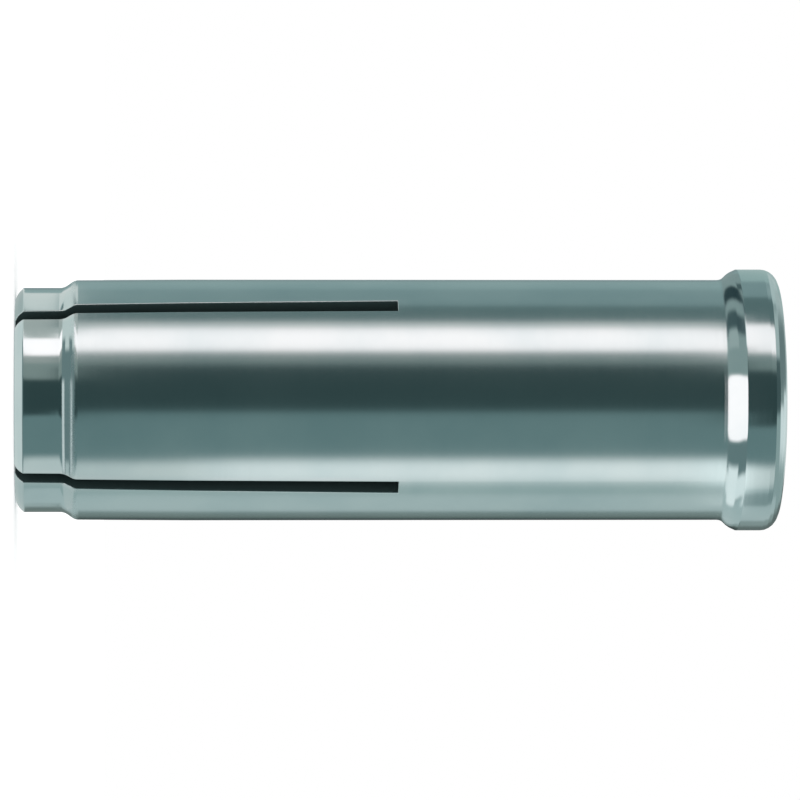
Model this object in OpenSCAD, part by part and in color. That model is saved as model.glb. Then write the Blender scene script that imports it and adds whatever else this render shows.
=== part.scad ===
// Drop-in anchor: a slotted steel sleeve, threaded inside behind its lipped mouth,
// with the tapered expander plug that waits in its bore to be driven home.
// It stands on its nose with the mouth up. The origin is on the axis, at the nose.

/* [Body] */
// Outside diameter of the body, the size of the hole that it drops into
body_d = 12.7; // [11:0.1:16]
// Length from the nose to the mouth
sleeve_l = 40.2; // [36:0.1:60]

/* [Nose] */
// How far the nose is turned down below the body
nose_step = 0.44; // [0.1:0.02:0.8]
// Length of the nose, up to the foot of its shoulder
nose_l = 2.56; // [1.5:0.02:4]
// Length of the sloping shoulder between nose and body
shoulder_l = 0.57; // [0.3:0.01:1.5]
// Rounding in the foot of the shoulder
shoulder_foot_r = 0.7; // [0.1:0.05:1]
// Rounding on the top of the shoulder
shoulder_top_r = 0.6; // [0.1:0.05:1]
// Length of the bevel on the outer edge of the nose
nose_bevel_l = 0.44; // [0.2:0.02:1]
// How far that bevel comes in on the end of the nose
nose_bevel_h = 0.64; // [0.2:0.02:1.2]
// How far that bevel bulges
nose_bevel_crown = 0.08; // [0.02:0.01:0.12]

/* [Lip] */
// How far the lip stands out from the body
lip_h = 0.565; // [0.2:0.005:1.5]
// Length of the lip, from the top of the flare that carries it to the mouth
lip_l = 2.14; // [1:0.01:4]
// Length of the flare between body and lip
flare_l = 0.76; // [0.4:0.02:2]
// How far the flare bulges
flare_crown = 0.1; // [0.02:0.01:0.14]
// Rounding in the foot of the flare
flare_foot_r = 0.75; // [0.1:0.05:1]
// Rounding of the outer edge of the lip at the mouth
lip_edge_r = 0.85; // [0.1:0.05:0.9]

/* [Bore and thread] */
// Minor diameter of the internal thread
thread_minor_d = 7.94; // [7.6:0.02:8.6]
// Depth of the thread, measured from the mouth
thread_l = 16; // [12:0.5:18]
// Depth of the 45 degree countersink at the mouth
countersink_l = 1.05; // [0.3:0.05:1.3]
// Diameter of the smooth bore that guides the plug
guide_d = 7.5; // [6.4:0.05:7.6]
// Length of that smooth bore, from the thread to the taper
guide_l = 8.8; // [6:0.2:10]
// Diameter of the hole in the nose, where the taper ends
nose_bore_d = 5.4; // [4:0.1:6]
// Length of the straight hole in the nose
nose_bore_l = 2; // [1:0.1:4]
// Rounding of the edges that are only broken, at the mouth, the nose and the flare
edge_break = 0.12; // [0.05:0.01:0.2]

/* [Slots] */
// Angle that the front finger, like the back one, takes up at the root of the saw cuts
front_angle = 97; // [80:0.5:100]
// Length of the cuts, measured from the nose
slot_l = 20; // [12:0.5:22]
// Width of a cut at its root
slot_root_w = 0.82; // [0.4:0.02:1.4]
// Width of a cut at the nose, where the fingers are pinched in
slot_tip_w = 0.62; // [0.3:0.02:1.2]
// How far a cut has leaned in over the front or back finger by the nose
slot_lean = 0.26; // [0:0.02:0.4]

/* [Expander plug] */
// Length of the plug
plug_l = 10.4; // [8:0.2:13]
// Length of the plug's cone, which sits in the taper of the sleeve
plug_cone_l = 5.6; // [3:0.2:7]
// Chamfer at both ends of the plug
plug_chamfer = 0.45; // [0.1:0.05:0.8]
// Gap all round between the plug and the bore
plug_gap = 0.02; // [0.01:0.01:0.05]

/* [Hidden] */
$fn = 96;

// Straight pieces that make up one rounded corner
arc_steps = 8;
// Rounding of a bulge, as much of it as its own two edges let it have
crown_r = 3;
// How far a cutter runs out past what it cuts
overrun = 1;

body_r = body_d / 2;
nose_r = body_r - nose_step;
lip_r = body_r + lip_h;
minor_r = thread_minor_d / 2;
guide_r = guide_d / 2;
nose_bore_r = nose_bore_d / 2;

shoulder_z = nose_l + shoulder_l;
lip_z = sleeve_l - lip_l;
flare_z = lip_z - flare_l;
thread_end_z = sleeve_l - thread_l;
guide_top_z = thread_end_z - abs(minor_r - guide_r);
taper_z = guide_top_z - guide_l;
taper_slope = (guide_r - nose_bore_r) / (taper_z - nose_bore_l);

plug_r = guide_r - plug_gap;
plug_tip_z = taper_z - plug_cone_l;
plug_tip_r = plug_r - plug_cone_l * taper_slope;
plug_top_z = plug_tip_z + plug_l;

// An outline's corners are [radius, height, rounding]. A corner with no rounding stays sharp,
// and a rounding takes up no more than half of the shorter edge beside it.
function along(from, to) = (to - from) / norm(to - from);
function flat_point(corner) = [corner[0], corner[1]];
function corner_points(before, at, after, rounding) =
    let (
        back = along(at, before),
        ahead = along(at, after),
        half_angle = acos(back * ahead) / 2,
        room = min(norm(before - at), norm(after - at)) / 2,
        reach = min(rounding / tan(half_angle), room),
        r = reach * tan(half_angle),
        centre = at + along([0, 0], back + ahead) * r / sin(half_angle),
        start = at + back * reach - centre,
        turn = sign(back[0] * ahead[1] - back[1] * ahead[0]) * (2 * half_angle - 180)
    )
    [for (i = [0:arc_steps])
        let (a = turn * i / arc_steps)
        centre + [start[0] * cos(a) - start[1] * sin(a), start[0] * sin(a) + start[1] * cos(a)]];
function outline(corners) =
    let (n = len(corners))
    [for (i = [0:n - 1])
        let (at = flat_point(corners[i]))
        each corners[i][2] == 0
            ? [at]
            : corner_points(flat_point(corners[(i + n - 1) % n]), at,
                            flat_point(corners[(i + 1) % n]), corners[i][2])];

// The corner that makes a bevel from one point to the next bulge out to its right
function crown(from, to, bulge) =
    let (way = along(from, to))
    [each (from + to) / 2 + bulge * [way[1], -way[0]], crown_r];

nose_bevel_foot = [nose_r - nose_bevel_h, 0];
nose_bevel_top = [nose_r, nose_bevel_l];
flare_foot = [body_r, flare_z];
flare_top = [lip_r, lip_z];

// Half section of the sleeve, up the outside from the nose and down the bore from the mouth
sleeve_corners = [
    [nose_bore_r, 0, edge_break],
    [each nose_bevel_foot, edge_break],
    crown(nose_bevel_foot, nose_bevel_top, nose_bevel_crown),
    [each nose_bevel_top, edge_break],
    [nose_r, nose_l, shoulder_foot_r],
    [body_r, shoulder_z, shoulder_top_r],
    [each flare_foot, flare_foot_r],
    crown(flare_foot, flare_top, flare_crown),
    [each flare_top, edge_break],
    [lip_r, sleeve_l, lip_edge_r],
    [minor_r + countersink_l, sleeve_l, edge_break],
    [minor_r, sleeve_l - countersink_l, 0],
    [minor_r, thread_end_z, 0],
    [guide_r, guide_top_z, 0],
    [guide_r, taper_z, 0],
    [nose_bore_r, nose_bore_l, 0],
];

// Half section of the plug, whose cone follows the taper of the sleeve
plug_corners = [
    [0, plug_tip_z, 0],
    [plug_tip_r - plug_chamfer, plug_tip_z, 0],
    [plug_tip_r + plug_chamfer * taper_slope, plug_tip_z + plug_chamfer, 0],
    [plug_r, taper_z, 0],
    [plug_r, plug_top_z - plug_chamfer, 0],
    [plug_r - plug_chamfer, plug_top_z, 0],
    [0, plug_top_z, 0],
];

module turned(corners) {
    rotate_extrude()
        polygon(outline(corners));
}

// The saw cut beside the front finger, from the axis out, narrower at the nose and leaning
module saw_cut() {
    spread = (slot_root_w - slot_tip_w) / 2 / slot_l;
    foot_w = slot_tip_w / 2 - spread * overrun;
    foot_lean = slot_lean * (1 + overrun / slot_l);
    rotate([90, 0, front_angle / 2])
        linear_extrude(height = lip_r + overrun)
            polygon([
                [-foot_lean - foot_w, -overrun],
                [-foot_lean + foot_w, -overrun],
                [slot_root_w / 2, slot_l],
                [-slot_root_w / 2, slot_l],
            ]);
}

module sleeve() {
    color([0.66, 0.74, 0.74])
        difference() {
            turned(sleeve_corners);
            for (turn = [0, 180], side = [0, 1])
                rotate(turn)
                    mirror([side, 0, 0])
                        saw_cut();
        }
}

module expander_plug() {
    color([0.52, 0.57, 0.58])
        turned(plug_corners);
}

sleeve();
expander_plug();
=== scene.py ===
import bmesh
import bpy
import numpy as np
from mathutils import Matrix, Vector


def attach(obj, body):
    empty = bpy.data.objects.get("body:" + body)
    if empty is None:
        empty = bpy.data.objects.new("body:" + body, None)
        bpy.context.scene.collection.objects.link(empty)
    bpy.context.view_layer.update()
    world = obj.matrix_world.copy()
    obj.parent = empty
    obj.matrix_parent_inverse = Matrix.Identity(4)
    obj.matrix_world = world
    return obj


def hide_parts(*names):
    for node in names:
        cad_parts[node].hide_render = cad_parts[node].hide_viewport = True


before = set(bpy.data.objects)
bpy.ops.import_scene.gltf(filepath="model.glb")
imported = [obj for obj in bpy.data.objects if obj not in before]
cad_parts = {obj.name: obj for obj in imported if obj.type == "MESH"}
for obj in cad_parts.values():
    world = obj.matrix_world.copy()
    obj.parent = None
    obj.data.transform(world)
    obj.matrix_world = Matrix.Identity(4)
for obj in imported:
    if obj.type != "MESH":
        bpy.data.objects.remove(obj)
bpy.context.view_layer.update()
scene = bpy.context.scene
mm = 0.001
mergeGap, flatGap = 0.0005 * mm, 0.0002 * mm    # points this close are one, edges this short go
boreMark, cutMark = 0.5, 1.0                    # the sawn attribute, which is 0 on the plated skin
print("frame loaded:", sorted(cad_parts))


# Each corner [radius, height, rounding] becomes an arc about a centre on the bisector of its
# two edges, at rounding / sin(half the angle); a rounding takes at most half of either edge.
def roundedOutline(corners, arcSteps):
    corner = np.array(corners, float)
    at, rounding = corner[:, :2], corner[:, 2]
    back = np.roll(at, 1, axis=0) - at
    ahead = np.roll(at, -1, axis=0) - at
    backLen, aheadLen = np.linalg.norm(back, axis=1), np.linalg.norm(ahead, axis=1)
    back, ahead = back / backLen[:, None], ahead / aheadLen[:, None]
    half = np.arccos(np.clip((back * ahead).sum(axis=1), -1, 1)) / 2
    reach = np.minimum(rounding / np.tan(half), np.minimum(backLen, aheadLen) / 2)
    radius = reach * np.tan(half)
    bisector = back + ahead
    bisector /= np.linalg.norm(bisector, axis=1)[:, None]
    centre = at + bisector * (radius / np.sin(half))[:, None]
    start = at + back * reach[:, None] - centre
    side = np.sign(back[:, 0] * ahead[:, 1] - back[:, 1] * ahead[:, 0])
    outline = []
    for i in range(len(corner)):
        if rounding[i] == 0:
            outline.append(at[i:i + 1])
            continue
        a = side[i] * (2 * half[i] - np.pi) * np.linspace(0, 1, arcSteps + 1)
        outline.append(centre[i] + np.stack([
            start[i, 0] * np.cos(a) - start[i, 1] * np.sin(a),
            start[i, 0] * np.sin(a) + start[i, 1] * np.cos(a)], axis=1))
    return outline


# A line with two more points on each long straight piece, a little way in from either end.
def supported(line, reach):
    way = np.diff(line, axis=0)
    length = np.linalg.norm(way, axis=1)
    way = way * (reach / np.maximum(length, 1e-9))[:, None]
    points = np.stack([line[:-1], line[:-1] + way, line[1:] - way], axis=1)
    long = length > 4 * reach
    kept = np.stack([np.ones_like(long), long, long], axis=1)
    return np.concatenate([points[kept], line[-1:]])


# Quads between neighbouring rows and columns of a grid of points; wrapped joins the last column
# to the first.
def gridQuads(rows, cols, wrapped=False):
    index = np.arange(rows * cols).reshape(rows, cols)
    right = np.roll(index, -1, axis=1) if wrapped else index[:, 1:]
    left = index if wrapped else index[:, :-1]
    return np.stack([left[:-1], right[:-1], right[1:], left[1:]], axis=-1).reshape(-1, 4)


# Points on circles: radius, angle and height in millimetres give x, y and z in metres.
def roundAxis(radius, angle, height):
    radius, angle, height = np.broadcast_arrays(radius, angle, height)
    return np.stack([radius * np.cos(angle), radius * np.sin(angle), height], axis=-1) * mm


# One mesh from several grids of (points, quads, values): the grids are stacked, shared points are
# merged, collapsed quads go, and the faces are turned outwards.
def meshPiece(name, grids, attributes=()):
    points, quads, values, base = [], [], [], 0
    for grid in grids:
        flat = grid[0].reshape(-1, 3)
        points.append(flat)
        quads.append(grid[1] + base)
        if attributes:
            values.append(np.broadcast_to(grid[2], (len(flat), len(attributes))))
        base += len(flat)
    mesh = bpy.data.meshes.new(name)
    mesh.from_pydata(np.concatenate(points), [], np.concatenate(quads))
    for k, attribute in enumerate(attributes):
        layer = mesh.attributes.new(attribute, "FLOAT", "POINT")
        layer.data.foreach_set("value", np.concatenate(values)[:, k].astype(np.float32))
    work = bmesh.new()
    work.from_mesh(mesh)
    bmesh.ops.remove_doubles(work, verts=work.verts, dist=mergeGap)
    bmesh.ops.dissolve_degenerate(work, edges=work.edges, dist=flatGap)
    bmesh.ops.recalc_face_normals(work, faces=work.faces)
    openEdges = sum(1 for edge in work.edges if not edge.is_manifold)
    work.to_mesh(mesh)
    work.free()
    mesh.shade_smooth()
    piece = bpy.data.objects.new(name, mesh)
    scene.collection.objects.link(piece)
    print(name, len(mesh.vertices), "points,", len(mesh.polygons), "faces,",
          openEdges, "open edges")
    return piece


# sRGB hex to linear by the sRGB curve: c / 12.92 in the darkest part, and above it
# (c + 0.055) / 1.055 to the power of 2.4.
def linear(hexColour):
    c = np.array([int(hexColour[i:i + 2], 16) for i in (1, 3, 5)]) / 255
    return tuple(np.where(c <= 0.04045, c / 12.92, ((c + 0.055) / 1.055) ** 2.4)) + (1.0,)


# Adds a node and sets its properties and inputs: an input that is given a socket is linked to it.
def addNode(tree, kind, inputs=None, **settings):
    node = tree.nodes.new(kind)
    for key, value in settings.items():
        setattr(node, key, value)
    for key, value in (inputs or {}).items():
        if isinstance(value, bpy.types.NodeSocket):
            tree.links.new(value, node.inputs[key])
        else:
            node.inputs[key].default_value = value
    return node


# A new material with its node tree and the principled shader that is already in it.
def newMaterial(name):
    material = bpy.data.materials.new(name)
    material.use_nodes = True
    tree = material.node_tree
    return material, tree, tree.nodes["Principled BSDF"]


sleeve = {
    "bodyDia": 12.7, "length": 40.2,
    "noseStep": 0.44, "noseLen": 2.56,
    "noseBevelLen": 0.44, "noseBevelIn": 0.64, "noseBevelCrown": 0.08,
    "shoulderLen": 0.57, "shoulderFootRound": 0.7, "shoulderTopRound": 0.6,
    "pinch": 0.037, "pinchTop": 9.0,    # the fingers are squeezed in a little towards the nose
    "lipOut": 0.559,        # a hair under the solid's 0.565, to stay inside its faceted box
    "lipLen": 2.14, "lipEdgeRound": 0.85,
    "flareLen": 0.76, "flareCrown": 0.1, "flareFootRound": 0.75,
    "crownRound": 3.0,      # rounding of a bulge, as much of it as its own two edges let it have
    "minorDia": 7.94, "majorDia": 9.525, "pitch": 25.4 / 16, "threadLen": 16.0, "countersink": 1.05,
    "threadRunout": 0.1,    # the thread starts this far above the end of its bore
    "guideDia": 7.5, "guideLen": 8.8, "noseBoreDia": 5.4, "noseBoreLen": 2.0, "edgeBreak": 0.12,
    "frontAngle": 97.0, "slotLen": 20.0,
    "slotRootWidth": 0.82, "slotTipWidth": 0.62, "slotLean": 0.26,
    "sawnEdge": 0.05,       # rounding left on the edges of the saw cuts
    "wallSteps": (0, 0.01, 0.15, 0.35, 0.6, 0.85, 0.99, 1),   # rows of a cut's wall, skin to bore
    "wearReach": 0.12,      # how far the rubbed plating reaches from such an edge
    "support": 0.02,        # rows this close to a rounding keep the faces beside it evenly shaded
    "arcSteps": 6, "fingerCols": 34, "edgeCols": 4, "slotCols": 4,
    "fingerRows": 41, "bodyRows": 25, "guideRows": 6,
}


# Half section of the sleeve as two lists of [radius, height]: up the outside and up the bore.
def sleeveSection(s):
    bodyR, noseR = s["bodyDia"] / 2, s["bodyDia"] / 2 - s["noseStep"]
    lipR, minorR, guideR = bodyR + s["lipOut"], s["minorDia"] / 2, s["guideDia"] / 2
    lipZ, boreR = s["length"] - s["lipLen"], s["noseBoreDia"] / 2
    threadEnd = s["length"] - s["threadLen"]
    guideTop = threadEnd - (minorR - guideR)

    def crown(a, b, bulge):     # the middle of a bevel, pushed out square to it
        a, b = np.array(a), np.array(b)
        way = (b - a) / np.linalg.norm(b - a)
        return [*((a + b) / 2 + bulge * np.array([way[1], -way[0]])), s["crownRound"]]

    bevel = [noseR - s["noseBevelIn"], 0.0], [noseR, s["noseBevelLen"]]
    flare = [bodyR, lipZ - s["flareLen"]], [lipR, lipZ]
    corners = [
        [boreR, 0.0, s["edgeBreak"]],
        [*bevel[0], s["edgeBreak"]],
        crown(*bevel, s["noseBevelCrown"]),
        [*bevel[1], s["edgeBreak"]],
        [noseR, s["noseLen"], s["shoulderFootRound"]],
        [bodyR - s["pinch"], s["noseLen"] + s["shoulderLen"], s["shoulderTopRound"]],
        [bodyR, s["pinchTop"], 0],
        [*flare[0], s["flareFootRound"]],
        crown(*flare, s["flareCrown"]),
        [*flare[1], s["edgeBreak"]],
        [lipR, s["length"], s["lipEdgeRound"]],
        [minorR + s["countersink"], s["length"], s["edgeBreak"]],
        [minorR, s["length"] - s["countersink"], 0],
        [minorR, threadEnd, 0],
        [guideR, guideTop, 0],
        [guideR, guideTop - s["guideLen"], 0],
        [boreR, s["noseBoreLen"], 0],
    ]
    arcs = roundedOutline(corners, s["arcSteps"])
    outside = supported(np.concatenate(arcs[1:11]), s["support"])
    bore = supported(np.concatenate(arcs[11:] + arcs[:1]), s["support"])[::-1]
    return outside, bore


# Half widths of the thread's groove along the axis, at its flat root, an eighth of the pitch wide,
# and where it opens between the crests: its 60 degree V widens on either side by its depth times
# the tangent of 30 degrees.
def threadEdges(s):
    root = s["pitch"] / 16
    return root, root + (s["majorDia"] - s["minorDia"]) / 2 * np.tan(np.radians(30))


# Share of the way from low to high, eased so that it is level at both ends: 3 t^2 - 2 t^3.
def smoothStep(low, high, value):
    share = np.clip((value - low) / np.maximum(high - low, 1e-6), 0, 1)
    return share * share * (3 - 2 * share)


# Depth of the thread's groove below the minor radius, from the distance along the axis to a helix
# that climbs one pitch a turn; it fades out over its last turn.
def threadDepth(s, angle, height):
    full = (s["majorDia"] - s["minorDia"]) / 2
    along = (height - s["pitch"] * angle / (2 * np.pi)) / s["pitch"]
    offset = np.abs(along - np.round(along)) * s["pitch"]
    depth = np.clip((threadEdges(s)[1] - offset) / np.tan(np.radians(30)), 0, full)
    start = s["length"] - s["threadLen"]
    return depth * smoothStep(0, s["pitch"], height - start - s["threadRunout"])


# Angle from the middle of a cut's root to the edge of the finger beside it: the arc sine of half
# the cut's width plus its lean, over the radius. Both run straight from the nose to the root. The
# side is 1 for the front and back fingers, which the cuts lean over, and -1 for the other two.
def cutAngle(s, radius, height, side):
    share = np.clip(height / s["slotLen"], 0, 1)
    width = s["slotTipWidth"] + (s["slotRootWidth"] - s["slotTipWidth"]) * share
    return np.arcsin(np.clip((width / 2 + side * s["slotLean"] * (1 - share)) / radius, -1, 1))


# Steps in from a sawn edge: even turns of its quarter circle, and one support beyond it.
def edgeSteps(s):
    turn = np.linspace(0, np.pi / 2, s["edgeCols"] + 1)
    return np.append(s["sawnEdge"] * (1 - np.cos(turn)), s["sawnEdge"] + s["support"])


# Angles of one sector's columns about its middle: across the finger evenly, crowded at both edges
# along a quarter circle of the sawn edge's rounding, and for the closed ring on across half a cut.
def sectorAngles(s, radius, height, half, side, withSlot):
    halfCut = cutAngle(s, radius, height, side)
    halfFinger = half - halfCut
    edge = halfFinger[:, None] - edgeSteps(s)[None, :] / radius[:, None]
    inner = np.linspace(-1, 1, s["fingerCols"] + 1)[1:-1]
    angles = [-edge, inner[None, :] * edge[:, -1:], edge[:, ::-1]]
    if withSlot:
        cut = np.linspace(0, 2, s["slotCols"] + 1)[1:-1]
        angles.append(halfFinger[:, None] + cut[None, :] * halfCut[:, None])
    return np.concatenate(angles, axis=1)


# Distance along the skin from a cut's edge to a point that is so far round from the cut's middle.
def besideCut(s, fromMiddle, radius, height, side):
    return np.maximum(fromMiddle - cutAngle(s, radius, height, side), 0) * radius


# How far the skin falls back near a cut: a quarter circle within the sawn edge's rounding.
def edgeDrop(s, distance):
    e = s["sawnEdge"]
    return e - np.sqrt(np.maximum(e * e - np.clip(e - distance, 0, e) ** 2, 0))


# Outward normals of an open section line, from its two neighbours on either side.
def sectionNormals(line):
    way = np.gradient(line, axis=0)
    way /= np.linalg.norm(way, axis=1)[:, None]
    return np.stack([way[:, 1], -way[:, 0]], axis=1)


# Rings of points along a piece of the half section, closed round the axis. Near the roots of the
# cuts the skin falls back: the gap is straight up over a cut and round its corners beside it.
def ringGrid(s, fingers, line, colRadius, inBore):
    root = s["slotLen"]
    angles = np.concatenate([middle + sectorAngles(s, colRadius, line[:, 1], half, side, True)
                             for middle, half, side in fingers], axis=1)
    fromMiddle = np.abs(np.abs(angles % np.pi - np.pi / 2) - fingers[0][1])
    beside = besideCut(s, fromMiddle, line[:, :1], np.full_like(line[:, 1:], root), 0)
    gap = np.hypot(beside, line[:, 1:] - root)
    drop, normal = edgeDrop(s, gap), sectionNormals(line)
    points = roundAxis(line[:, :1] - normal[:, :1] * drop, angles,
                       line[:, 1:] - normal[:, 1:] * drop)
    sawn = np.where(inBore, boreMark, 0)[:, None] + 0 * gap
    value = np.stack([sawn, np.exp(-gap / s["wearReach"])], axis=-1)
    return points, gridQuads(*angles.shape, wrapped=True), value.reshape(-1, 2), angles


# The threaded bore between two heights. Its rows climb a pitch a turn, so that they lie along the
# helix's roots and crests; the last column meets the first one a turn further up, and a row that
# would pass either end lies along it.
def threadGrid(s, angles, bore, low, high):
    pitch, turn, e = s["pitch"], angles / (2 * np.pi), s["support"]
    root, crest = threadEdges(s)
    half = np.array([root - e, root, root + e, (root + crest) / 2, crest - e, crest, crest + e])
    profile = np.concatenate([-half[::-1], half, [pitch / 2]])
    first, last = np.floor(low / pitch - turn[0]) - 2, np.ceil(high / pitch - turn[0]) + 1
    base = (np.arange(first, last)[:, None] * pitch + profile).ravel()
    height = np.clip(base[:, None] + pitch * turn, low, high)
    radius = np.maximum(np.interp(height, bore[:, 1], bore[:, 0]),
                        s["minorDia"] / 2 + threadDepth(s, angles, height))
    index = np.arange(height.size).reshape(height.shape)
    above = np.minimum(np.arange(len(base)) + len(profile), len(base) - 1)
    right = np.concatenate([index[:, 1:], index[above, :1]], axis=1)
    quads = np.stack([index[:-1], right[:-1], right[1:], index[1:]], axis=-1).reshape(-1, 4)
    return roundAxis(radius, angles, height), quads, np.array([boreMark, 0.0])


# The sleeve's skin in grids whose rows follow the half section and whose columns go round it. Below
# the cuts' root each finger is a strip down the outside, across the nose and up the bore, with flat
# walls between its edges; above it the rows close into rings, with the helix in the bore.
def sleeveGrids(s):
    outside, bore = sleeveSection(s)
    root, depth = s["slotLen"], np.array(s["wallSteps"])
    frontHalf, quarter = np.radians(s["frontAngle"] / 2), np.pi / 2
    sideHalf = quarter - frontHalf
    fingers = ((-quarter, frontHalf, 1), (0.0, sideHalf, -1),      # middle, half angle, side
               (quarter, frontHalf, 1), (2 * quarter, sideHalf, -1))
    grids = []

    levels = np.concatenate([outside[:, 1], bore[:, 1], np.linspace(0, root, s["fingerRows"])])
    levels = np.unique(np.round(levels[levels <= root], 4))
    count, face = len(levels), depth[1:-1]
    down = np.stack([np.interp(levels, outside[:, 1], outside[:, 0]), levels], axis=1)[::-1]
    up = np.stack([np.interp(levels, bore[:, 1], bore[:, 0]), levels], axis=1)
    across = np.stack([down[-1, 0] + (up[0, 0] - down[-1, 0]) * face, 0 * face], axis=1)
    strip = np.concatenate([down, across, up])
    normal = -sectionNormals(strip)
    for middle, half, side in fingers:
        angles = sectorAngles(s, strip[:, 0], strip[:, 1], half, side, False)
        gap = besideCut(s, half - np.abs(angles), strip[:, :1], strip[:, 1:], side)
        drop = edgeDrop(s, gap)
        skin = roundAxis(strip[:, :1] - normal[:, :1] * drop, angles + middle,
                         strip[:, 1:] - normal[:, 1:] * drop)
        wear = np.exp(-gap / s["wearReach"])
        value = np.stack([0 * wear, wear], axis=-1).reshape(-1, 2)
        grids.append((skin, gridQuads(*angles.shape), value))
        for col in (0, -1):
            outer, inner = skin[:count, col][:, None], skin[-count:, col][::-1][:, None]
            wall = outer + (inner - outer) * depth[None, :, None]
            wall[-1] = skin[count - 1:count + len(face) + 1, col]     # along the nose's face
            grids.append((wall, gridQuads(count, len(depth)), np.array([cutMark, 0.0])))

    # up the outside from the root, over the mouth and down to the first thread
    threadTop = s["length"] - s["countersink"] + (s["majorDia"] - s["minorDia"]) / 2 + s["support"]
    threadEnd = s["length"] - s["threadLen"]
    crowd = root + edgeSteps(s)
    outLevels = np.concatenate([outside[:, 1], crowd,
                                np.linspace(root, outside[-1, 1], s["bodyRows"])])
    outLevels = np.unique(np.round(outLevels[(outLevels >= root) & (outLevels < s["length"])], 4))
    inSink = (bore[:, 1] > threadTop) & (bore[:, 1] < s["length"])
    sinkLevels = np.sort(np.append(bore[inSink, 1], threadTop))[::-1]
    outLine = np.stack([np.interp(outLevels, outside[:, 1], outside[:, 0]), outLevels], axis=1)
    sinkLine = np.stack([np.interp(sinkLevels, bore[:, 1], bore[:, 0]), sinkLevels], axis=1)
    rimEnds = np.array([[outside[-1, 0], s["length"]], [bore[-1, 0], s["length"]]])
    rim = supported(rimEnds, s["support"])
    line = np.concatenate([outLine, rim, sinkLine])
    colRadius = np.append(line[:-1, 0], s["minorDia"] / 2)
    upper = ringGrid(s, fingers, line, colRadius, np.arange(len(line)) >= len(outLine) + len(rim))
    # the thread, and the smooth bore from its end down to the root
    thread = threadGrid(s, upper[3][-1], bore, threadEnd, threadTop)
    boreLevels = np.concatenate([bore[:, 1], crowd, np.linspace(root, threadEnd, s["guideRows"])])
    inGuide = (boreLevels >= root) & (boreLevels <= threadEnd)
    boreLevels = np.unique(np.round(boreLevels[inGuide], 4))[::-1]
    boreLine = np.stack([np.interp(boreLevels, bore[:, 1], bore[:, 0]), boreLevels], axis=1)
    lower = ringGrid(s, fingers, boreLine, boreLine[:, 0], np.full(len(boreLine), True))
    grids += [upper[:3], thread, lower[:3]]

    # flat roots of the cuts, from the first ring to the last
    sector = upper[0].shape[1] // len(fingers)
    cols = np.arange(sector - s["slotCols"], sector + 1)
    for k in range(len(fingers)):
        pick = (cols + k * sector) % upper[0].shape[1]
        outer, inner = upper[0][0, pick][None], lower[0][-1, pick][None]
        floor = outer + (inner - outer) * depth[:, None, None]
        grids.append((floor, gridQuads(len(depth), len(pick)), np.array([cutMark, 0.0])))
    return grids


sleevePiece = meshPiece("anchorSleeve", sleeveGrids(sleeve), ("sawn", "wear"))
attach(sleevePiece, "root")
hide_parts("sleeve")


plug = {
    "length": 10.4, "coneLen": 5.6, "chamfer": 0.45, "gap": 0.02,
    "edgeRound": 0.12, "coneRound": 1.0,
    "dimple": 0.25, "dimpleDia": 3.0,       # the dish that the setting punch finds
    "arcSteps": 5, "cols": 96, "dishRows": 14,
}


# The plug's half section from the middle of its tip to the middle of its top, turned about the
# axis; its cone runs beside the taper of the bore, a gap inside it, and its top is faintly dished.
def plugGrid(s, p):
    guideR, boreR = s["guideDia"] / 2, s["noseBoreDia"] / 2
    taperZ = s["length"] - s["threadLen"] - (s["minorDia"] / 2 - guideR) - s["guideLen"]
    slope = (guideR - boreR) / (taperZ - s["noseBoreLen"])
    r, tipZ = guideR - p["gap"], taperZ - p["coneLen"]
    tipR, topZ, c, e = r - p["coneLen"] * slope, tipZ + p["length"], p["chamfer"], p["edgeRound"]
    corners = [
        [0.0, tipZ, 0],
        [tipR - c, tipZ, e],
        [tipR + c * slope, tipZ + c, e],
        [r, taperZ, p["coneRound"]],
        [r, topZ - c, e],
        [r - c, topZ, e],
        [0.0, topZ, 0],
    ]
    line = supported(np.concatenate(roundedOutline(corners, p["arcSteps"])[:-1]), s["support"])
    dishR = np.linspace(line[-1, 0], 0.0, p["dishRows"])[1:]
    dish = np.clip(1 - (dishR / (p["dimpleDia"] / 2)) ** 2, 0, 1)
    line = np.concatenate([line, np.stack([dishR, topZ - p["dimple"] * dish * dish], axis=1)])
    angle = np.arange(p["cols"]) * 2 * np.pi / p["cols"]
    points = roundAxis(line[:, :1], angle[None, :], line[:, 1:])
    return [(points, gridQuads(len(line), p["cols"], wrapped=True), None)]


plugPiece = meshPiece("expanderPlug", plugGrid(sleeve, plug))
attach(plugPiece, "root")
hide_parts("expander_plug")


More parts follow.
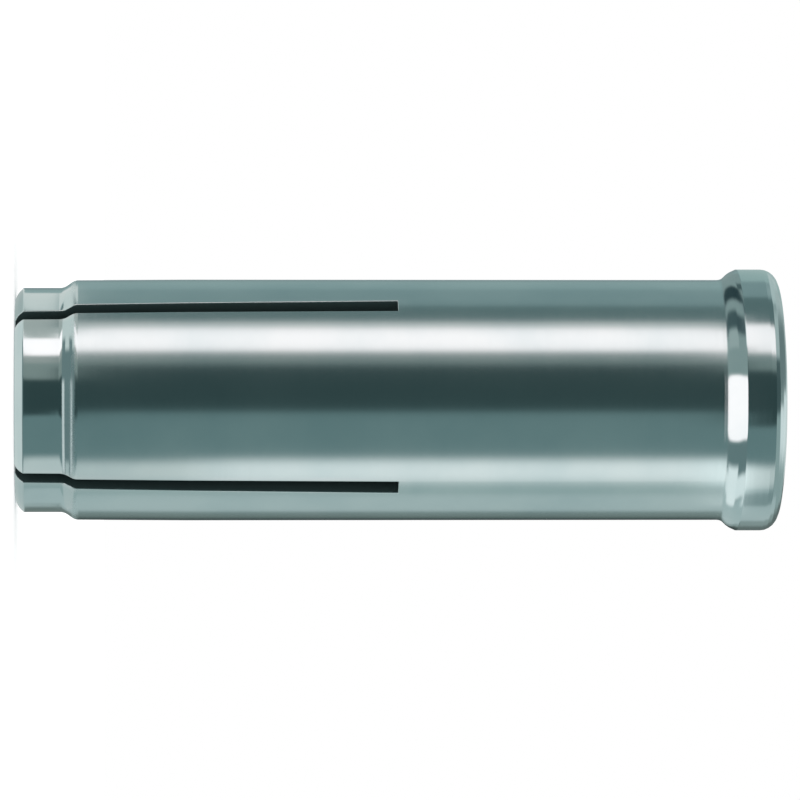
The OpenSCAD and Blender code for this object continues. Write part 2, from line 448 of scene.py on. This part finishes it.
# Bright zinc on turned steel, passivated clear blue: a cool, faintly green-blue mirror with a soft
# satin blur. The long ground body is a little more matt than the freshly turned nose and lip, fine
# turning marks run round it, and the bore is darker and duller. The saw cuts are painted dark, as
# painted shade for the deep, narrow cuts, where little light reaches.
zinc = {
    # the cut colour is painted shade: the dark that falls deep in the narrow saw cuts
    "plate": "#d1e1e1", "cloud": "#c6d9da", "worn": "#e6ecec", "bore": "#8d9999", "cut": "#364a4a",
    "bodyRough": 0.21, "noseRough": 0.115, "lipRough": 0.15, "boreRough": 0.3, "cutRough": 0.6,
    "roughSpread": 0.02,
    "cutScale": 0.8,         # how much of a cut's wall is dull scale, not bare metal
    "cloudSize": 5.0,        # mm across a cloud in the passivation
    "cloudRange": (0.4, 0.7),    # noise levels between which a cloud comes in
    "turningPitch": 0.16,    # mm; real marks are 0.05 apart, drawn coarser so that they show
    "turningDrift": 0.03,    # how far the marks' noise moves on in a mm across the axis
    "turningDepth": 0.0003,  # mm
    "streakRange": (0.3, 0.7),   # noise levels of the smoothest and the roughest streak
    "waveSize": 7.0,         # mm across the faint waves that drawing leaves in the bar
    "waveDepth": 0.004,      # mm
    "noseTop": 2.9, "lipFoot": 37.2, "turnedFade": 0.4,    # mm up the axis: the finish changes
    "scuffed": 3.08, "scuffReach": 0.16,    # mm up the axis, the shoulder's top: rubbed in patches
    "scuffSize": 0.5, "scuffRange": (0.3, 0.5), "scuffRough": 0.32,
}


# Colour and roughness are built up in layers, each mixed over the last by its share; two bumps, the
# drawn bar's waves and the turning marks, tilt the surface.
def zincMaterial(z):
    cloudLow, cloudHigh = z["cloudRange"]
    streakLow, streakHigh = z["streakRange"]
    scuffLow, scuffHigh = z["scuffRange"]
    material, tree, shader = newMaterial("brightZincOnTurnedSteel")
    place = addNode(tree, "ShaderNodeTexCoord").outputs["Object"]
    inMm = addNode(tree, "ShaderNodeVectorMath", {0: place, 1: (1 / mm,) * 3},
                   operation="MULTIPLY").outputs[0]
    height = addNode(tree, "ShaderNodeSeparateXYZ", {0: inMm}).outputs["Z"]
    sawn = addNode(tree, "ShaderNodeAttribute", attribute_name="sawn").outputs["Fac"]
    wear = addNode(tree, "ShaderNodeAttribute", attribute_name="wear").outputs["Fac"]
    cloud = addNode(tree, "ShaderNodeTexNoise", {
        "Vector": inMm, "Scale": 1 / z["cloudSize"], "Detail": 4.0}).outputs["Fac"]
    wave = addNode(tree, "ShaderNodeTexNoise", {
        "Vector": inMm, "Scale": 1 / z["waveSize"], "Detail": 1.0}).outputs["Fac"]
    # turning marks: a noise that changes fast along the axis and hardly at all round it
    lathe = addNode(tree, "ShaderNodeMapping", {
        "Vector": inMm,
        "Scale": (z["turningDrift"], z["turningDrift"], 1 / z["turningPitch"])}).outputs[0]
    marks = addNode(tree, "ShaderNodeTexNoise", {
        "Vector": lathe, "Scale": 1.0, "Detail": 3.0}).outputs["Fac"]

    # colour: clouded plate, paler on worn edges, dull in the bore, and dark in the saw cuts with
    # painted shade
    clouded = addNode(tree, "ShaderNodeMapRange", {
        "Value": cloud, "From Min": cloudLow, "From Max": cloudHigh}).outputs[0]
    patchy = addNode(tree, "ShaderNodeMath", {0: wear, 1: clouded},
                     operation="MULTIPLY").outputs[0]
    inBore = addNode(tree, "ShaderNodeMapRange", {
        "Value": sawn, "From Min": 0.0, "From Max": boreMark}).outputs[0]
    # the saw cuts, which carry the painted shade
    inCut = addNode(tree, "ShaderNodeMapRange", {
        "Value": sawn, "From Min": boreMark, "From Max": cutMark}).outputs[0]
    colour = linear(z["plate"])
    for share, over in ((clouded, "cloud"), (patchy, "worn"), (inBore, "bore"), (inCut, "cut")):
        colour = addNode(tree, "ShaderNodeMix", {0: share, 6: colour, 7: linear(z[over])},
                         data_type="RGBA").outputs[2]

    # roughness: the ground body is softer than the turned nose and lip; streaked by the marks
    nose = addNode(tree, "ShaderNodeMapRange", {
        "Value": height, "From Min": z["noseTop"], "From Max": z["noseTop"] + z["turnedFade"],
        "To Min": z["noseRough"], "To Max": z["bodyRough"]}).outputs[0]
    lip = addNode(tree, "ShaderNodeMapRange", {
        "Value": height, "From Min": z["lipFoot"], "From Max": z["lipFoot"] + z["turnedFade"],
        "To Min": z["bodyRough"], "To Max": z["lipRough"]}).outputs[0]
    rough = addNode(tree, "ShaderNodeMath", {0: nose, 1: lip}, operation="MINIMUM").outputs[0]
    streak = addNode(tree, "ShaderNodeMapRange", {
        "Value": marks, "From Min": streakLow, "From Max": streakHigh,
        "To Min": -z["roughSpread"] / 2, "To Max": z["roughSpread"] / 2}).outputs[0]
    rough = addNode(tree, "ShaderNodeMath", {0: rough, 1: streak}, operation="ADD").outputs[0]
    # and rubbed dull in patches near the height of the shoulder's top
    fromScuff = addNode(tree, "ShaderNodeMath", {0: height, 1: z["scuffed"]},
                        operation="SUBTRACT").outputs[0]
    fromScuff = addNode(tree, "ShaderNodeMath", {0: fromScuff}, operation="ABSOLUTE").outputs[0]
    patches = addNode(tree, "ShaderNodeTexNoise", {
        "Vector": inMm, "Scale": 1 / z["scuffSize"], "Detail": 3.0}).outputs["Fac"]
    patches = addNode(tree, "ShaderNodeMapRange", {
        "Value": patches, "From Min": scuffLow, "From Max": scuffHigh}).outputs[0]
    onShoulder = addNode(tree, "ShaderNodeMapRange", {
        "Value": fromScuff,
        "From Min": z["scuffReach"], "From Max": z["scuffReach"] / 2}).outputs[0]
    scuff = addNode(tree, "ShaderNodeMath", {0: patches, 1: onShoulder},
                    operation="MULTIPLY").outputs[0]
    for share, over in ((scuff, "scuffRough"), (inBore, "boreRough"), (inCut, "cutRough")):
        rough = addNode(tree, "ShaderNodeMix", {0: share, 2: rough, 3: z[over]}).outputs[0]

    waves = addNode(tree, "ShaderNodeBump", {
        "Height": wave, "Strength": 1.0, "Distance": z["waveDepth"] * mm}).outputs[0]
    bump = addNode(tree, "ShaderNodeBump", {
        "Height": marks, "Strength": 1.0, "Distance": z["turningDepth"] * mm,
        "Normal": waves}).outputs[0]
    metal = addNode(tree, "ShaderNodeMapRange", {
        "Value": inCut, "To Min": 1.0, "To Max": 1 - z["cutScale"]}).outputs[0]
    for key, socket in (("Base Color", colour), ("Roughness", rough),
                        ("Metallic", metal), ("Normal", bump)):
        tree.links.new(socket, shader.inputs[key])
    return material


# Cold-formed steel with a thin dull flash of zinc: greyer and rougher than the sleeve, with the
# grainy skin that a forming die leaves.
plugSteel = {
    "skin": "#9ba6a7", "shade": "#7d8889", "rough": 0.34, "roughSpread": 0.12,
    "patchSize": 1.6,        # mm across a darker patch
    "shadeRange": (0.35, 0.65), "roughRange": (0.3, 0.7),    # noise levels for colour, roughness
    "grain": 0.18,           # mm across a grain of the die's print
    "grainDepth": 0.002,     # mm
}


# One noise of patches both darkens and roughens the skin, and a finer one is its grain.
def plugMaterial(p):
    shadeLow, shadeHigh = p["shadeRange"]
    roughLow, roughHigh = p["roughRange"]
    material, tree, shader = newMaterial("dullZincOnColdFormedSteel")
    place = addNode(tree, "ShaderNodeTexCoord").outputs["Object"]
    inMm = addNode(tree, "ShaderNodeVectorMath", {0: place, 1: (1 / mm,) * 3},
                   operation="MULTIPLY").outputs[0]
    patch = addNode(tree, "ShaderNodeTexNoise", {
        "Vector": inMm, "Scale": 1 / p["patchSize"], "Detail": 4.0}).outputs["Fac"]
    grain = addNode(tree, "ShaderNodeTexNoise", {
        "Vector": inMm, "Scale": 1 / p["grain"], "Detail": 2.0}).outputs["Fac"]
    shade = addNode(tree, "ShaderNodeMapRange", {
        "Value": patch, "From Min": shadeLow, "From Max": shadeHigh}).outputs[0]
    colour = addNode(tree, "ShaderNodeMix", {
        0: shade, 6: linear(p["skin"]), 7: linear(p["shade"])}, data_type="RGBA").outputs[2]
    rough = addNode(tree, "ShaderNodeMapRange", {
        "Value": patch, "From Min": roughLow, "From Max": roughHigh,
        "To Min": p["rough"] - p["roughSpread"] / 2,
        "To Max": p["rough"] + p["roughSpread"] / 2}).outputs[0]
    bump = addNode(tree, "ShaderNodeBump", {
        "Height": grain, "Strength": 1.0, "Distance": p["grainDepth"] * mm}).outputs[0]
    for key, socket in (("Base Color", colour), ("Roughness", rough), ("Normal", bump)):
        tree.links.new(socket, shader.inputs[key])
    shader.inputs["Metallic"].default_value = 1.0
    return material


sleevePiece.data.materials.append(zincMaterial(zinc))
plugPiece.data.materials.append(plugMaterial(plugSteel))
print("materials:", [m.name for m in bpy.data.materials if m.users])


# The stage: a white sweep of floor under an even white sky, and a small tent of cards and strip
# lamps round the anchor that only its metal mirrors, as a photographer flags a bright cylinder.
studio = {
    "floorRadius": 1.2, "floorInner": 0.02,      # m, and the first ring round its middle
    "floorRows": 24, "floorCols": 96,
    "floorColour": "#fefefe",
    "floorLift": 0.2,       # what the floor glows towards the camera, so that it shows white
    # the tent in mm: its wall, a roof that closes over the mouth, a table round the nose, a narrow
    # shelf under the shoulder that falls outwards, and a collar under the lip
    "wallRadius": 32.0, "wallTop": 66.0, "roofRadius": 0.2, "roofTop": 99.0,
    "tableFrom": 4.8, "tableHeight": 0.03,
    "shelfFrom": 6.45, "shelfTo": 6.95, "shelfHeight": 2.0, "shelfFall": 0.07,
    "shelfOver": 8.0,       # round its cards the shelf has the table's light from this radius
    "collarFrom": 6.4, "collarTo": 14.0, "collarHeight": 36.9,
    "wallRows": 221, "roofRows": 33, "tableRows": 137, "shelfRows": 21, "collarRows": 153,
    # cards on the wall and roof, in groups that share their lowest and highest point in mm and how
    # softly they end there; each card is laid over the last: name, from and to in degrees round
    # from the camera towards -X, soft edge, colour, strength
    "wallCards": [
        (-5, 120, 1, [
            ("greyTent", -180, 180, 1, "#738a8b", 1.0),
            ("cameraFlag", -10, 31, 3, "#384a4b", 1.0),
            ("upperBack", 93, 122, 3, "#8a9e9f", 1.0),
            ("upperEdge", 122, 180, 6, "#98adad", 1.0),
            ("upperRim", 147, 172, 12, "#889a9b", 1.0),
            ("lowerGap", -94, -77.5, 3, "#a7b7b6", 1.0),
            ("lowerBack", -125, -94, 4, "#bcc7c7", 1.0),
            ("lowerEdge", -180, -126, 8, "#7b8885", 1.0),
            ("lowerRim", -174, -143, 16, "#3e4948", 1.0),
            ("backStrip", 173, 187, 4, "#ffffff", 1.2),
        ]),
        (-5, 58, 4, [
            ("keyShelf", 31, 42.7, 3, "#7e8a88", 1.0),
            ("keyStrip", 42.7, 67, 3, "#ffeeef", 1.52),
            ("keySpill", 66, 73, 5, "#dcd9d7", 0.9),
            ("keyGap", 73.5, 93, 3, "#637778", 1.0),
            ("fillCard", -76.5, -55.4, 10, "#d6dad9", 1.0),
        ]),
        (10, 40.5, 5, [
            ("fillStrip", -76.5, -54.4, 15, "#fbf9f9", 1.05),
        ]),
        (-5, 2.1, 0.6, [
            ("noseFlag", -14, -8, 4, "#384a4b", 1.0),
            ("noseShelf", 19, 37, 4, "#8f9a97", 1.0),
            ("noseStep", 34.5, 42, 2, "#a9aca9", 1.0),
            ("noseKey", 42, 60.2, 1.5, "#ffeeef", 1.6),
            ("noseGrey", 60.2, 87, 1.5, "#bbbdba", 1.0),
            ("noseBack", 97, 134, 3, "#e4e4e2", 1.0),
            ("noseLowerEdge", -150, -123, 6, "#b0bbba", 1.0),
            ("noseLowerRim", -170, -134, 12, "#77827f", 1.0),
        ]),
        (40.3, 58, 0.6, [
            ("lipFlag", -21, -8, 4, "#3a4c4d", 1.0),
            ("lipShelf", 23, 38, 4, "#869391", 1.0),
            ("lipKey", 37.3, 61, 6, "#ffeeef", 1.42),
            ("lipGap", 63, 78, 6, "#637778", 1.0),
            ("lipUpperEdge", 118, 180, 6, "#a9bdbb", 1.0),
            ("lipLowerEdge", -180, -124, 6, "#93a09e", 1.0),
            ("lipLowerRim", -176, -138, 12, "#66716f", 1.0),
            ("lipLowerGap", -98, -81, 3, "#8b9c9c", 1.0),
        ]),
        (39.2, 40.4, 1.2, [
            ("flareSpill", -112, -52, 10, "#eef1f1", 1.0),
            ("flareGlow", -82, -54, 8, "#ffffff", 1.7),
        ]),
        (47, 60, 4, [
            ("lipCorner", 98, 150, 8, "#c4cfce", 1.0),
        ]),
        (59, 120, 5, [
            ("frontRoof", -14, 40, 8, "#4c5d5e", 1.0),
            ("upperRoof", 41.5, 180, 6, "#bdc6c5", 1.0),
            ("lowerRoof", -180, -14, 8, "#9fafae", 1.0),
            ("backRoof", 176, 200, 8, "#e0e6e5", 1.0),
        ]),
        (70, 120, 8, [
            ("upperZenith", 24, 169, 10, "#7b8989", 1.0),
        ]),
        (76, 120, 8, [
            ("lowerZenith", -191, -8, 18, "#f4f6f6", 1.0),
        ]),
        (82, 120, 8, [
            ("frontZenith", -10, 24, 12, "#96a3a2", 1.0),
        ]),
        (92, 120, 4, [
            ("lid", -180, 180, 1, "#b4bfbe", 1.0),
        ]),
    ],
    # rings on the table, shelf and collar in the same way, from and to in mm from the axis; outside
    # them the table takes the wall's light
    "tableCards": [
        (0, 6.3, 0.4, [
            ("bevelFront", -180, 180, 1, "#e2e5e4", 1.0),
            ("bevelUpper", 51, 180, 6, "#b6bfbe", 1.0),
            ("bevelLower", -180, -44, 6, "#c3cbca", 1.0),
        ]),
        (6.3, 10.8, 0.4, [
            ("footTable", -180, 180, 1, "#77898a", 1.0),
            ("footKey", 37, 120, 6, "#dfe2e0", 1.0),
            ("footLower", -140, -47, 8, "#c4cbca", 1.0),
        ]),
    ],
    "shelfCards": [
        (6.53, 6.9, 0.06, [
            ("footGlint", -46, 11, 5, "#ffffff", 0.8),
        ]),
    ],
    "collarCards": [
        (0, 99, 1, [
            ("greyCollar", -180, 180, 1, "#93a2a1", 1.0),
            ("frontCard", -21, 12.5, 2, "#ffeeef", 1.55),
            ("lowerGrey", -42, -22, 2, "#748788", 1.0),
            ("lowerEnd", -110, -62, 5, "#b9c6c6", 1.0),
        ]),
        (0, 7.13, 0.1, [
            ("darkUpper", 60.5, 77, 6, "#314347", 1.0),
            ("darkMiddle", 38.5, 51, 6, "#4a5d60", 1.0),
            ("keyEnd", 27, 37.5, 4, "#aab5b4", 1.0),
            ("lowerBright", -66, -35.5, 6, "#fbfcfc", 1.05),
        ]),
        (7.03, 8.5, 0.1, [
            ("darkUpper", 60.5, 77, 6, "#314347", 1.0),
            ("darkMiddle", 36, 48.5, 6, "#46585c", 1.0),
            ("lowerBright", -60, -42, 6, "#f6f8f8", 1.05),
        ]),
        (8.4, 99, 0.2, [
            ("darkUpper", 76, 86, 6, "#4c5e60", 1.0),
            ("darkMiddle", 52, 65, 6, "#4c5e62", 1.0),
            ("keyEnd", 31, 49, 6, "#f0f2f2", 1.0),
            ("lowerBright", -70, -40, 8, "#f6f8f8", 1.0),
        ]),
    ],
}


# Share of a card at a place along one direction: 1 inside it, falling to 0 across its soft edges.
def within(low, high, soft, value):
    half = soft / 2
    begun, ended = (smoothStep(end - half, end + half, value) for end in (low, high))
    return begun * (1 - ended)


# Each card's light is laid over the ones before it, light * (1 - share) + card * share: rows run
# along the groups' direction, columns go round. A card may pass the half turn, as from 173 to 187.
def cardLight(groups, along, turn, light):
    for low, high, softEnd, cards in groups:
        inGroup = within(low, high, softEnd, along)[:, None]
        for name, start, end, soft, colour, strength in cards:
            middle, half = (start + end) / 2, (end - start) / 2
            away = np.abs((turn - middle + 180) % 360 - 180)
            across = within(-half, half, soft, away) if half < 180 else np.ones_like(turn)
            share = (inGroup * across)[..., None]
            light = light * (1 - share) + share * np.array(linear(colour)[:3]) * strength
    return light


# The tent is four grids of rings, a column for each degree: wall with roof, table, shelf and
# collar. A ring's radius and height run straight between the ends of its grid. Cards are matt and
# even, so each point's light is an attribute and the material only sends it out, on the inner side.
def tentPiece(st, cameraTurn):
    turn = np.arange(-180, 180, 1.0)
    lean = np.linspace(0, 1, st["roofRows"])[1:]
    height = np.concatenate([np.linspace(st["tableHeight"], st["wallTop"], st["wallRows"]),
                             st["wallTop"] + (st["roofTop"] - st["wallTop"]) * lean])
    radius = np.interp(height, [st["wallTop"], st["roofTop"]], [st["wallRadius"], st["roofRadius"]])
    dark = np.zeros((1, len(turn), 3))
    wall = cardLight(st["wallCards"], height, turn, dark)
    tableR = np.linspace(st["tableFrom"], st["wallRadius"], st["tableRows"])
    table = cardLight(st["tableCards"], tableR, turn, wall[:1])
    shelfR = np.linspace(st["shelfFrom"], st["shelfTo"], st["shelfRows"])
    under = np.searchsorted(tableR, st["shelfOver"])
    shelfZ = np.linspace(st["shelfHeight"], st["shelfHeight"] - st["shelfFall"], len(shelfR))
    shelf = cardLight(st["shelfCards"], shelfR, turn, table[under:under + 1])
    collarR = np.linspace(st["collarFrom"], st["collarTo"], st["collarRows"])
    collar = cardLight(st["collarCards"], collarR, turn, dark)
    # a turn of 0 looks back at the camera, which stands cameraTurn round from -Y towards +X
    angle = np.radians(cameraTurn - 90 - turn)[None, :]
    points, quads, glow, base = [], [], [], 0
    for r, h, light in ((radius, height, wall), (tableR, 0 * tableR + st["tableHeight"], table),
                        (shelfR, shelfZ, shelf),
                        (collarR, 0 * collarR + st["collarHeight"], collar)):
        points.append(roundAxis(r[:, None], angle, h[:, None]).reshape(-1, 3))
        quads.append(gridQuads(len(r), len(turn), wrapped=True) + base)
        glow.append(light.reshape(-1, 3))
        base += len(points[-1])
    mesh = bpy.data.meshes.new("cardTent")
    mesh.from_pydata(np.concatenate(points), [], np.concatenate(quads))
    layer = mesh.attributes.new("cardLight", "FLOAT_VECTOR", "POINT")
    layer.data.foreach_set("vector", np.concatenate(glow).astype(np.float32).ravel())
    tent = bpy.data.objects.new("cardTent", mesh)
    scene.collection.objects.link(tent)
    material = bpy.data.materials.new("cardsAndStripLamps")
    material.use_nodes = True
    tree = material.node_tree
    tree.nodes.clear()
    shown = addNode(tree, "ShaderNodeAttribute", attribute_name="cardLight").outputs["Vector"]
    lit = addNode(tree, "ShaderNodeEmission", {"Color": shown, "Strength": 1.0}).outputs[0]
    through = addNode(tree, "ShaderNodeBsdfTransparent").outputs[0]
    behind = addNode(tree, "ShaderNodeNewGeometry").outputs["Backfacing"]
    faced = addNode(tree, "ShaderNodeMixShader", {0: behind, 1: lit, 2: through}).outputs[0]
    addNode(tree, "ShaderNodeOutputMaterial", {"Surface": faced})     # the backs let light through
    mesh.materials.append(material)
    for ray in ("camera", "diffuse", "transmission", "volume_scatter", "shadow"):
        setattr(tent, "visible_" + ray, False)
    print("cardTent", len(mesh.vertices), "points,", len(mesh.polygons), "faces")


# The floor is rings about the axis, each wider than the last by the same factor. Matt white paint
# shows the anchor's shadow and no gloss. The lift is seen by the camera, metal and glass, and it
# lights nothing.
def floorPiece(st):
    rings = np.geomspace(st["floorInner"], st["floorRadius"], st["floorRows"])
    radius, cols = np.append(0.0, rings) / mm, st["floorCols"]
    angle = np.arange(cols) * 2 * np.pi / cols
    floor = meshPiece("studioFloor", [(roundAxis(radius[:, None], angle[None, :], 0.0),
                                       gridQuads(len(radius), cols, wrapped=True), None)])
    if floor.data.polygons[0].normal.z < 0:
        floor.data.flip_normals()
    material, tree, shader = newMaterial("whitePaintedSweep")
    shader.inputs["Base Color"].default_value = linear(st["floorColour"])
    shader.inputs["Roughness"].default_value = 1.0
    shader.inputs["Specular IOR Level"].default_value = 0.0
    shader.inputs["Emission Color"].default_value = (1, 1, 1, 1)
    path = addNode(tree, "ShaderNodeLightPath").outputs
    seen = path["Is Camera Ray"]
    for ray in ("Is Glossy Ray", "Is Transmission Ray"):
        seen = addNode(tree, "ShaderNodeMath", {0: seen, 1: path[ray]}, operation="ADD").outputs[0]
    lift = addNode(tree, "ShaderNodeMath", {0: seen, 1: st["floorLift"]},
                   operation="MULTIPLY").outputs[0]
    tree.links.new(lift, shader.inputs["Emission Strength"])
    floor.data.materials.append(material)


# The camera lies on its side, as the photograph shows the anchor: +Z runs to the right of the
# picture. It is level with the nose end and looks a little up along the anchor.
camera = {
    "turn": 2.4,             # degrees round from -Y towards +X
    "away": 328.7,           # mm from the axis
    "height": 5.9,           # mm above the floor
    "aim": 20.285,           # mm up the axis, the middle of the picture
    "mmAcross": 42.29,       # what the picture's width covers at the axis
    "sensor": 36.0,          # mm
    "clip": (0.01, 10.0),    # m
}


# The lens is the sensor's width times the distance over the width it covers; the camera's right is
# +Z made square to the way it looks.
def addCamera(c):
    turn = np.radians(c["turn"])
    eye = Vector((np.sin(turn) * c["away"], -np.cos(turn) * c["away"], c["height"])) * mm
    target = Vector((0, 0, c["aim"])) * mm
    ahead = (target - eye).normalized()
    right = (Vector((0, 0, 1)) - ahead * ahead.z).normalized()
    up = right.cross(ahead)
    lens = bpy.data.cameras.new("photoCamera")
    lens.sensor_width = c["sensor"]
    lens.lens = c["sensor"] * (target - eye).length / (c["mmAcross"] * mm)
    lens.clip_start, lens.clip_end = c["clip"]
    holder = bpy.data.objects.new("photoCamera", lens)
    holder.matrix_world = Matrix((
        (right.x, up.x, -ahead.x, eye.x), (right.y, up.y, -ahead.y, eye.y),
        (right.z, up.z, -ahead.z, eye.z), (0, 0, 0, 1)))
    scene.collection.objects.link(holder)
    scene.camera = holder


# An even white sky at a strength of 1, so that a colour shows about as it is written.
def addSky():
    world = bpy.data.worlds.new("whiteSky")
    world.use_nodes = True
    sky = world.node_tree.nodes["Background"]
    sky.inputs["Color"].default_value = (1, 1, 1, 1)
    sky.inputs["Strength"].default_value = 1.0
    scene.world = world


floorPiece(studio)
tentPiece(studio, camera["turn"])
addCamera(camera)
addSky()
scene.view_settings.view_transform = "Standard"
print("stage and camera set")
